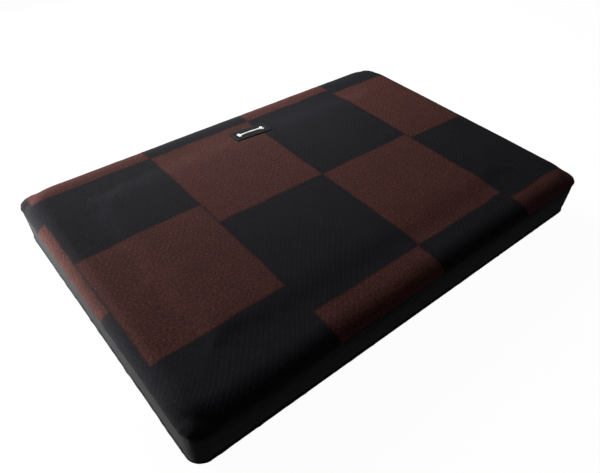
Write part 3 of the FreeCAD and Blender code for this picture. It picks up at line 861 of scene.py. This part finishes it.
label_centre = (label_low + label_high) / 2
LABEL_TURN = math.radians(-4)
LABEL_LONG = 56 * MM
LABEL_WIDE = 25 * MM
LABEL_THICK = 0.6 * MM
LABEL_RISE = 0.25 * MM


def on_top(a, b, lift=0.0):
    """A point of the label: a along it and b across it, lying on the cushion's top."""
    x = label_centre.x + a * math.cos(LABEL_TURN) - b * math.sin(LABEL_TURN)
    y = label_centre.y + a * math.sin(LABEL_TURN) + b * math.cos(LABEL_TURN)
    return Vector((x, y, top_at(x, y).z + lift))


def sheet_grid(name, across, along, place, thickness, material):
    """A thin cloth of across by along cells: place(s, t) gives the middle of its back face."""
    points, faces, flat = [], [], []
    for i in range(across + 1):
        for j in range(along + 1):
            s, t = i / across, j / along
            points.append(place(s, t))
            flat.append((s, t, 0.0))
    for i in range(across):
        for j in range(along):
            a = i * (along + 1) + j
            faces.append([a, a + along + 1, a + along + 2, a + 1])
    item = make_object(name, points, faces, material)
    lay_flat(item.data, flat)
    thicken(item, thickness, 1)
    shade(item.data)
    return item


def label_place(s, t):
    a, b = (s - 0.5) * LABEL_LONG, (t - 0.5) * LABEL_WIDE
    edge = min(s, 1 - s) * LABEL_LONG, min(t, 1 - t) * LABEL_WIDE
    rounding = 0.45 * MM * math.exp(-min(edge) / (0.9 * MM))
    puff = 0.5 * MM * math.sin(math.pi * s) * math.sin(math.pi * t)
    wave = 0.25 * MM * noise.noise(Vector((s * 6, t * 3, 4)))
    return on_top(a, b, LABEL_RISE + puff + wave - rounding * 0.5)


def label_lift(a, b):
    s, t = a / LABEL_LONG + 0.5, b / LABEL_WIDE + 0.5
    return label_place(s, t) + Vector((0, 0, LABEL_THICK))


def label_cloth(name, dark, light, rib_count, shine):
    """Tightly woven ribbon: fine ribs across its length, with painted shade in their valleys, and sheen."""
    graph = Graph(name)
    flat = graph.cloth_coordinates()
    s, t, _ = graph.split(flat)
    ribs = graph.math("SINE", graph.times(t, rib_count * 2 * math.pi))
    fine = graph.math("SINE", graph.times(s, rib_count * 4.6 * math.pi))
    place = graph.object_coordinates()
    tint = graph.noise(place, 260, 3, 0.6)
    colour = graph.mix(graph.step(tint, 0.3, 0.7), dark, light)
    # painted shade: the colour goes towards the dark colour in the valleys between the ribs
    colour = graph.mix(graph.step(ribs, -1, 1, 0.4, 0.0), colour, dark)
    height = graph.math("MULTIPLY_ADD", fine, 0.5, ribs)
    normal = graph.bump(height, 0.5, 0.12 * MM)
    graph.set(Base_Color=colour, Roughness=graph.step(tint, 0.3, 0.7, 0.62, 0.82), Normal=normal)
    graph.set(Specular_IOR_Level=shine)
    return graph.material


label_weave = label_cloth("label_weave", rgb(0.0030, 0.0030, 0.0034), rgb(0.0080, 0.0080, 0.0088), 46, 0.05)
woven_label = sheet_grid("woven_label_cloth", 56, 26, label_place, LABEL_THICK, label_weave)
belongs(woven_label, "woven_label", "label_weave")

MOTIF_LONG = 41 * MM
LOBE = 2.45 * MM
SHAFT = 1.45 * MM
SATIN_STEP = 0.5 * MM
SATIN_RADII = (0.2, 0.27, 0.29, 0.29, 0.29, 0.27, 0.2)   # along one satin thread, in mm


def motif_runs(a):
    """The stretches across a bone shape at a distance along it."""
    lobe_at = MOTIF_LONG / 2 - LOBE
    runs = []
    if abs(a) < lobe_at:
        runs.append([-SHAFT, SHAFT])
    reach = LOBE ** 2 - (abs(a) - lobe_at) ** 2
    if reach > 0:
        half = math.sqrt(reach)
        for centre in (-LOBE * 0.8, LOBE * 0.8):
            runs.append([centre - half, centre + half])
    merged = []
    for run in sorted(runs):
        if merged and run[0] <= merged[-1][1]:
            merged[-1][1] = max(merged[-1][1], run[1])
        else:
            merged.append(run)
    return merged


def bone_motif():
    """A bone shape in satin stitch: threads side by side across it, each arching a little."""
    points, faces = [], []
    count = round(MOTIF_LONG / SATIN_STEP)
    for k in range(count):
        a = -MOTIF_LONG / 2 + MOTIF_LONG * (k + 0.5) / count
        for low, high in motif_runs(a):
            if high - low < 0.5 * MM:
                continue
            wobble = 0.12 * MM * noise.noise(Vector((a * 900, low * 500, 2)))
            path = []
            for share in (0.0, 0.08, 0.3, 0.5, 0.7, 0.92, 1.0):
                b = low + (high - low) * share + wobble
                arch = 0.30 * MM * math.sin(math.pi * share) - 0.05 * MM
                path.append(label_lift(a, b) + Vector((0, 0, arch)))
            tube(points, faces, path, [MM * radius for radius in SATIN_RADII])
    item = make_object("bone_motif_satin_stitch", points, faces, motif_thread)
    belongs(item, "label_motif", "motif_thread")


def label_border():
    """Stitches a little inside the label's edge, all the way round."""
    points, faces = [], []
    margin, step, long = 1.6 * MM, 2.5 * MM, 1.8 * MM
    half_a, half_b = LABEL_LONG / 2 - margin, LABEL_WIDE / 2 - margin
    sides = (0, half_a, half_b), (0, half_a, -half_b), (1, half_b, half_a), (1, half_b, -half_a)
    for along, half_run, level in sides:
        count = round(2 * half_run / step)
        for k in range(count):
            middle = -half_run + 2 * half_run * (k + 0.5) / count
            ends = []
            for run in (middle - long / 2, middle + long / 2):
                ends.append(label_lift(run, level) if along == 0 else label_lift(level, run))
            stitch(points, faces, ends[0], ends[1], UP, 0.26 * MM)
    item = make_object("label_border_stitches", points, faces, seam_thread)
    belongs(item, "label_stitching", "seam_thread")


bone_motif()
label_border()


# ---------------------------------------------------------------- zip and its stitching, care label
def seam_row(points, faces, middle_of, count):
    """Stitches along a line on the back: middle_of(share) gives a point in x and z."""
    for k in range(count):
        ends = []
        for share in ((k + 0.13) / count, (k + 0.87) / count):
            x, z = middle_of(share)
            hit = surface.ray_cast(Vector((x, HALF_WIDE + PROBE, z)), Vector((0, -1, 0)))[0]
            ends.append(hit + Vector((0, 0.12 * MM, 0)))
        stitch(points, faces, ends[0], ends[1], Vector((0, 1, 0)), 0.3 * MM)


def strip_stitches():
    """The rows that hold the tapes, and the upright joins where the strips meet the side band."""
    points, faces = [], []
    run = STRIP_END - 6 * MM
    for z in (ZIP_TOP + 1.6 * MM, ZIP_BOTTOM - 1.6 * MM):
        seam_row(points, faces, lambda share, z=z: (-run + 2 * run * share, z), round(2 * run / STITCH_STEP))
    low, high = LOWER_SEAM + 3 * MM, UPPER_SEAM - 3 * MM
    for side in (-1, 1):
        x = side * (STRIP_END + 1.5 * MM)
        count = round((high - low) / STITCH_STEP)
        seam_row(points, faces, lambda share, x=x: (x, low + (high - low) * share), count)
    item = make_object("back_strip_stitches", points, faces, seam_thread)
    belongs(item, "zip_stitching", "seam_thread")


COIL_PITCH = 1.5 * MM
COIL_WIRE = 0.27 * MM
COIL_TURN_POINTS = 10
WEDGE_ROOM = 0.36 * MM


def coil(name, low, high, side, node, material):
    """A spiral coil along one tape, its turns ending short of the slider's wedge."""
    inner = ZIP_LINE + side * WEDGE_ROOM
    outer = high.z if side > 0 else low.z
    middle_z = (inner + outer) / 2
    half_z = abs(outer - inner) / 2 - COIL_WIRE
    middle_y = (low.y + high.y) / 2
    half_y = (high.y - low.y) / 2 - COIL_WIRE
    start_x = low.x + COIL_WIRE + (COIL_PITCH / 2 if side > 0 else 0)
    turns = int((high.x - COIL_WIRE - start_x) / COIL_PITCH)
    path = []
    for k in range(turns * COIL_TURN_POINTS + 1):
        angle = 2 * math.pi * k / COIL_TURN_POINTS
        x = start_x + COIL_PITCH * k / COIL_TURN_POINTS
        y = middle_y + half_y * math.cos(angle)
        path.append(Vector((x, y, middle_z - side * half_z * math.sin(angle))))
    points, faces = [], []
    tube(points, faces, path, [COIL_WIRE] * len(path), 5, 1.0, Vector((1, 0, 0)))
    item = make_object(name, points, faces, material)
    belongs(item, node, "zip_coil")


def monofilament():
    """Dull black nylon wire with faint drawn lines and scuffs."""
    graph = Graph("zip_coil_nylon")
    place = graph.object_coordinates()
    tint = graph.noise(place, 500, 3, 0.6)
    colour = graph.mix(graph.step(tint, 0.35, 0.7), rgb(0.008, 0.008, 0.009), rgb(0.024, 0.024, 0.026))
    drawn = graph.noise(graph.vector_math("MULTIPLY", place, (1600, 400, 400)), 1, 2)
    normal = graph.bump(drawn, 0.25, 0.05 * MM)
    graph.set(Base_Color=colour, Roughness=graph.step(tint, 0.3, 0.7, 0.28, 0.5), Normal=normal)
    graph.set(Specular_IOR_Level=0.5)
    return graph.material


nylon = monofilament()
coil("zip_coil_turns_upper", coil_low, coil_high, 1, "zip_coil_upper", nylon)
coil("zip_coil_turns_lower", lower_coil_low, lower_coil_high, -1, "zip_coil_lower", nylon)
strip_stitches()

TAPE_CLOTH = 0.5 * MM
tape_weave = label_cloth("zip_tape", rgb(0.0060, 0.0060, 0.0065), rgb(0.0170, 0.0170, 0.0180), 14, 0.25)


def tape(name, node):
    """One tape of the zip, from beside the wedge to its sewn edge, as long as the strips."""
    low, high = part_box(node)
    near_line = ZIP_LINE + math.copysign(WEDGE_ROOM, low.z + high.z - 2 * ZIP_LINE)
    bottom, top = sorted((near_line, high.z if near_line > ZIP_LINE else low.z))
    reach = STRIP_END - 1 * MM

    def place(s, t):
        x = reach - 2 * reach * s
        z = bottom + (top - bottom) * t
        wave = 0.05 * MM * noise.noise(Vector((x * 40, z * 60, 6)))
        return Vector((x, low.y + 0.05 * MM + wave, z))

    cloth = sheet_grid(name, 180, 8, place, TAPE_CLOTH, tape_weave)
    belongs(cloth, node, "zip_tape")


tape("zip_tape_cloth_upper", "zip_tape_upper")
tape("zip_tape_cloth_lower", "zip_tape_lower")

SATIN = 0.22 * MM
satin = label_cloth("care_label_satin", rgb(0.20, 0.20, 0.195), rgb(0.36, 0.36, 0.35), 60, 0.5)


def care_place(s, t):
    """The folded satin label: down its front layer, round the fold, up its back layer."""
    x = care_low.x + (care_high.x - care_low.x) * s
    gap = (care_high.y - care_low.y) / 2 - SATIN * 0.9
    middle = (care_low.y + care_high.y) / 2
    drop = care_high.z - care_low.z - SATIN
    fold = 0.06
    bow = 0.1 * MM * math.sin(math.pi * s)
    if t < 0.5 - fold:
        share = t / (0.5 - fold)
        y = middle + gap * min(1, 0.25 + share) + bow * share
        return Vector((x, y, care_high.z - drop * 0.96 * share))
    if t > 0.5 + fold:
        share = (1 - t) / (0.5 - fold)
        y = middle - gap * min(1, 0.25 + share)
        return Vector((x, y, care_high.z - drop * 0.96 * share))
    angle = math.pi * (t - 0.5 + fold) / (2 * fold)
    depth = drop * (0.96 + 0.04 * math.sin(angle))
    return Vector((x, middle + gap * math.cos(angle) + bow * (1 + math.cos(angle)) / 2, care_high.z - depth))


care = sheet_grid("care_label_fold", 16, 44, care_place, SATIN, satin)
belongs(care, "care_label", "care_label_satin")


# ---------------------------------------------------------------- metal parts carried over from the frame
def painted_metal(name, dark, light, rough):
    """Satin black paint over metal: orange-peel texture, cloudy sheen and small scuffs to bare metal."""
    graph = Graph(name)
    place = graph.object_coordinates()
    peel = graph.noise(place, 2600, 2)
    clouds = graph.noise(place, 380, 3, 0.6)
    scuffs = graph.noise(graph.vector_math("MULTIPLY", place, (900, 2400, 2400)), 1, 4, 0.75)
    colour = graph.mix(graph.step(clouds, 0.3, 0.7), dark, light)
    bare = graph.step(scuffs, 0.66, 0.72)
    colour = graph.mix(bare, colour, rgb(0.30, 0.30, 0.29))
    height = graph.math("MULTIPLY_ADD", bare, -0.6, peel)
    normal = graph.bump(height, 0.22, 0.04 * MM)
    rough_map = graph.step(clouds, 0.3, 0.7, rough, rough + 0.14)
    graph.set(Base_Color=colour, Roughness=rough_map, Normal=normal, Metallic=bare)
    graph.set(Specular_IOR_Level=0.5)
    return graph.material


METALS = {
    "slider_metal": (["zip_slider_body"], rgb(0.022, 0.022, 0.024), rgb(0.040, 0.040, 0.042), 0.28),
    "tab_metal": (["zip_pull_tab"], rgb(0.024, 0.024, 0.026), rgb(0.044, 0.044, 0.046), 0.26),
    "zip_stop_metal": (
        ["zip_top_stop_upper", "zip_top_stop_lower", "zip_bottom_stop"],
        rgb(0.026, 0.026, 0.027), rgb(0.048, 0.048, 0.049), 0.34,
    ),
}
for metal_name, (nodes, dark, light, rough) in METALS.items():
    metal = painted_metal(metal_name + "_painted", dark, light, rough)
    for node in nodes:
        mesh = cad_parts[node].data
        for index in range(len(mesh.materials)):
            mesh.materials[index] = metal


# ---------------------------------------------------------------- filling
def rounded_surface(low, high, radius, cell, keep=None):
    """Points and faces of a box with rounded edges; keep(z) says which faces stay."""
    middle, half = (low + high) / 2, (high - low) / 2
    counts = [max(3, round(2 * h / cell)) for h in half]
    found, points, faces = {}, [], []

    def point(i, j, k):
        key = (i, j, k)
        if key not in found:
            raw = [half[n] * (2 * key[n] / counts[n] - 1) for n in range(3)]
            core = Vector([max(-half[n] + radius, min(half[n] - radius, raw[n])) for n in range(3)])
            away = Vector(raw) - core
            shift = away.normalized() * radius if away.length > 1e-9 else away
            found[key] = len(points)
            points.append(middle + core + shift)
        return found[key]

    for axis in range(3):
        a, b = (axis + 1) % 3, (axis + 2) % 3
        for end in (0, counts[axis]):
            for i in range(counts[a]):
                for j in range(counts[b]):
                    corners = [(i, j), (i + 1, j), (i + 1, j + 1), (i, j + 1)]
                    if end == 0:
                        corners.reverse()
                    face = []
                    for ca, cb in corners:
                        key = [0, 0, 0]
                        key[axis], key[a], key[b] = end, ca, cb
                        face.append(point(*key))
                    faces.append(face)
    if keep:
        faces = [face for face in faces if keep(sum(points[n].z for n in face) / len(face))]
    return points, faces


def roughened(points, low, high, amount, scale, seed):
    """Move the points a little towards the middle, unevenly."""
    middle = (low + high) / 2
    moved = []
    for place in points:
        spot = Vector((place.x * scale, place.y * scale, place.z * scale + seed))
        dent = amount * (0.5 + 0.5 * noise.noise(spot))
        inwards = Vector([math.copysign(1, middle[n] - place[n]) for n in range(3)])
        depth = [min(dent, abs(middle[n] - place[n]) * 0.3) for n in range(3)]
        moved.append(place + Vector([inwards[n] * depth[n] for n in range(3)]))
    return moved


def tuck_under(points, gap):
    """Press any point down that would come closer than the gap to the cover above it."""
    tucked = []
    for place in points:
        hit = top_at(place.x, place.y)
        ceiling = hit.z - gap if hit else place.z
        tucked.append(Vector((place.x, place.y, min(place.z, max(ceiling, LOWER_SEAM)))))
    return tucked


def fibre_fill(name, dark, light, scale, pore):
    """Pale filling: tangled fibres or foam cells, with uneven colour and deep pores."""
    graph = Graph(name)
    place = graph.object_coordinates()
    clouds = graph.noise(place, scale * 0.12, 3, 0.6)
    fine = graph.noise(place, scale, 4, 0.7)
    cells = graph.tree.nodes.new("ShaderNodeTexVoronoi")
    graph.feed(cells.inputs["Vector"], place)
    cells.inputs["Scale"].default_value = pore
    colour = graph.mix(graph.step(clouds, 0.3, 0.7), dark, light)
    colour = graph.mix(graph.step(fine, 0.35, 0.6, 0.4, 0.0), colour, dark)
    height = graph.math("MULTIPLY_ADD", fine, 0.5, cells.outputs["Distance"])
    normal = graph.bump(height, 0.7, 0.6 * MM)
    graph.set(Base_Color=colour, Roughness=graph.step(fine, 0.3, 0.7, 0.85, 0.98), Normal=normal)
    graph.set(Specular_IOR_Level=0.1)
    return graph.material


# Each filling: node, slot, edge radius, unevenness, colours, fibre and pore scale, and fill.
WADDING_LOOK = (0.62, 0.62, 0.61), (0.80, 0.80, 0.79), 700, 350, 0.5
FOAM_LOOK = (0.52, 0.46, 0.30), (0.66, 0.60, 0.42), 1200, 900, 0.9
FILLINGS = [
    ("foam_block", "foam_core", "foam", 3 * MM, 0.25 * MM, *FOAM_LOOK),
    ("wadding_upper", "upper_wadding", "wadding_fibre", 3.2 * MM, 0.9 * MM, *WADDING_LOOK),
    ("wadding_lower", "lower_wadding", "wadding_fibre", 1.8 * MM, 0.5 * MM, *WADDING_LOOK),
]
FILLING_CELL = 7 * MM
for name, node, slot_name, radius, rough_depth, dark, light, scale, pore, fill in FILLINGS:
    low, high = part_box(node)
    points, faces = rounded_surface(low, high, radius, FILLING_CELL)
    points = tuck_under(roughened(points, low, high, rough_depth, 30, 3), CLOTH + 1.9 * MM)
    material = fibre_fill(name + "_material", rgb(*dark), rgb(*light), scale, pore)
    item = make_object(name, points, faces, material)
    belongs(item, node, slot_name)

LINER_CLOTH = 0.4 * MM
LINER_ROUND = 8.5 * MM
upper_low, upper_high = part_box("inner_liner_upper")
lower_low, lower_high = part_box("inner_liner_lower")
split = (upper_low.z + lower_high.z) / 2
liner_low = Vector((upper_low.x, upper_low.y, lower_low.z))
# painted shade: the liner is dark grey so that where it shows through the zip's slit it looks like the shade
# inside the cover
liner_cloth = fibre_fill("liner_nonwoven", rgb(0.040, 0.040, 0.042), rgb(0.075, 0.075, 0.078), 1500, 600)
LINERS = [
    ("liner_upper", "inner_liner_upper", lambda z: z > split),
    ("liner_lower", "inner_liner_lower", lambda z: z < split),
]
for name, node, keep in LINERS:
    points, faces = rounded_surface(liner_low, upper_high, LINER_ROUND, 5 * MM, keep)
    points = tuck_under(points, CLOTH + 0.5 * MM)
    item = make_object(name, points, faces, liner_cloth)
    thicken(item, LINER_CLOTH, -1)
    loose = bmesh.new()
    loose.from_mesh(item.data)
    bmesh.ops.delete(loose, geom=[v for v in loose.verts if not v.link_faces], context="VERTS")
    loose.to_mesh(item.data)
    loose.free()
    belongs(item, node, "liner_nonwoven")


# ---------------------------------------------------------------- stage
STAGE_RADIUS = 12
WORLD_STRENGTH = 0.12


def studio():
    """White floor and backdrop, which only the camera sees, a low key from the left and a light behind."""
    def plain(name, strength):
        graph = Graph(name)
        graph.set(Base_Color=rgb(0.05, 0.05, 0.05), Roughness=1.0, Specular_IOR_Level=0.0)
        graph.set(Emission_Color=rgb(1.0, 1.0, 1.0), Emission_Strength=strength)
        return graph.material

    def backing(name, material, make):
        mesh = bpy.data.meshes.new(name)
        work = bmesh.new()
        make(work)
        work.to_mesh(mesh)
        work.free()
        mesh.materials.append(material)
        item = new_object(name, mesh)
        item.visible_diffuse = False
        item.visible_glossy = False
        return item

    floor = backing("floor", plain("pale_floor", 0.97), lambda work: bmesh.ops.create_circle(
        work, cap_ends=True, radius=STAGE_RADIUS, segments=96))
    floor.location.z = -0.05 * MM
    dome = backing("backdrop", plain("pale_backdrop", 0.99), lambda work: bmesh.ops.create_icosphere(
        work, subdivisions=4, radius=STAGE_RADIUS))
    dome.visible_shadow = False

    def softbox(name, place, aim, size, power):
        data = bpy.data.lights.new(name, "AREA")
        data.shape = "RECTANGLE"
        data.size, data.size_y = size
        data.energy = power
        lamp = new_object(name, data)
        lamp.location = place
        lamp.rotation_mode = "QUATERNION"
        lamp.rotation_quaternion = (Vector(aim) - Vector(place)).to_track_quat("-Z", "Y")
        lamp.visible_camera = False

    softbox("key", (-0.70, 0.45, 0.075), (-0.15, 0, 0.03), (0.4, 0.12), 19)
    softbox("overhead", (0.14, 0.70, 0.45), (0.05, 0.0, 0.03), (0.6, 0.35), 12.4)
    world = bpy.data.worlds.new("studio")
    world.use_nodes = True
    background = world.node_tree.nodes["Background"]
    background.inputs["Color"].default_value = rgb(1.0, 1.0, 1.0)
    background.inputs["Strength"].default_value = WORLD_STRENGTH
    bpy.context.scene.world = world
    bpy.context.scene.view_settings.view_transform = "Standard"


studio()


CAMERA_AZIMUTH = math.radians(-40.64)
CAMERA_ELEVATION = math.radians(42.32)
CAMERA_ROLL = math.radians(-1.88)
CAMERA_LENS = 33.75
CAMERA_SENSOR = 36
CAMERA_PLACE = (-0.3796, -0.4253, 0.4916)


def aim_camera():
    """The camera stands off the near left corner and looks down, with a slight roll."""
    azimuth, elevation, roll = CAMERA_AZIMUTH, CAMERA_ELEVATION, CAMERA_ROLL
    level = math.cos(elevation)
    back = Vector((math.sin(azimuth) * level, -math.cos(azimuth) * level, math.sin(elevation)))
    ahead = -back
    right = ahead.cross(Vector((0, 0, 1))).normalized()
    down = ahead.cross(right)
    right_rolled = right * math.cos(roll) + down * math.sin(roll)
    down_rolled = down * math.cos(roll) - right * math.sin(roll)
    data = bpy.data.cameras.new("camera")
    data.sensor_width = CAMERA_SENSOR
    data.lens = CAMERA_LENS
    camera = new_object("camera", data)
    axes = Matrix((right_rolled, -down_rolled, back)).transposed().to_4x4()
    camera.matrix_world = Matrix.Translation(CAMERA_PLACE) @ axes
    bpy.context.scene.camera = camera


aim_camera()
